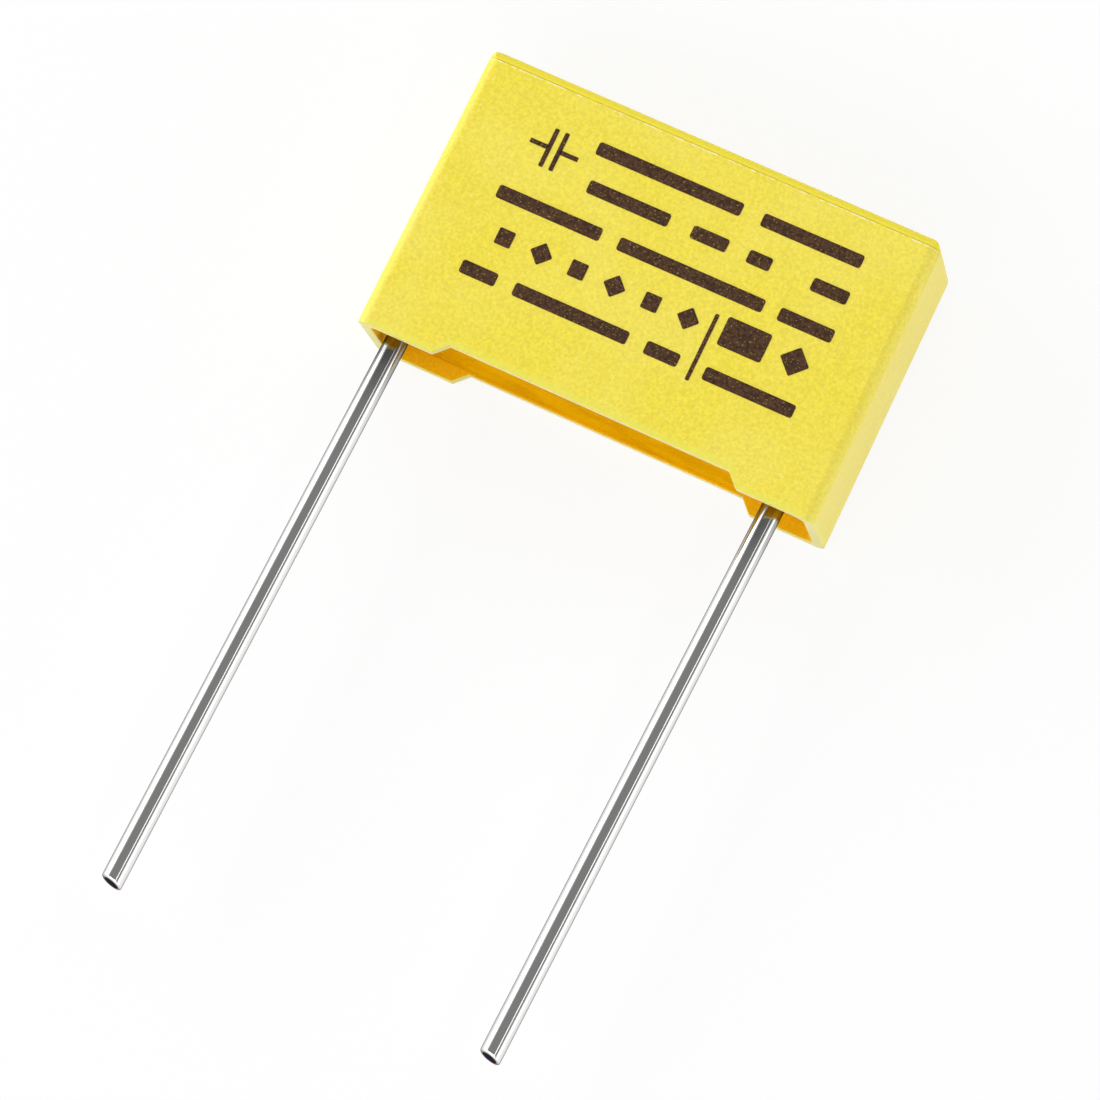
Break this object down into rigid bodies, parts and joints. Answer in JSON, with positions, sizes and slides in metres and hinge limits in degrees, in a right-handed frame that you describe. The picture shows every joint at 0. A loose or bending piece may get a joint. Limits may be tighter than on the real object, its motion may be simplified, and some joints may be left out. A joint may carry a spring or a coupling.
{
  "type": "box film capacitor",
  "caption": "Moulded box film capacitor for a circuit board, with stand-off feet, a resin-filled mouth and straight tinned wire leads.",
  "frame": {"origin": "midway between the two leads on the plane that the feet stand on, at half the thickness", "axes": "+X along the row of leads, +Y from the leads to the closed top, +Z out of the front face; the part lies on its back"},
  "size_m": [0.018, 0.0328, 0.005],
  "materials": {
    "case_plastic": "yellow moulded polyester with a fine spark-eroded grain",
    "casting_resin": "glossy amber casting resin",
    "metallised_film": "metallised film, wound and pressed flat",
    "sprayed_zinc": "rough sprayed zinc",
    "tinned_wire": "bright tinned round wire"
  },
  "bodies": {
    "root": {"case": "case_plastic", "epoxy_fill": "casting_resin", "film_winding": "metallised_film", "end_spray_left": "sprayed_zinc", "end_spray_right": "sprayed_zinc", "lead_left": "tinned_wire", "lead_right": "tinned_wire"}
  },
  "joints": []
}
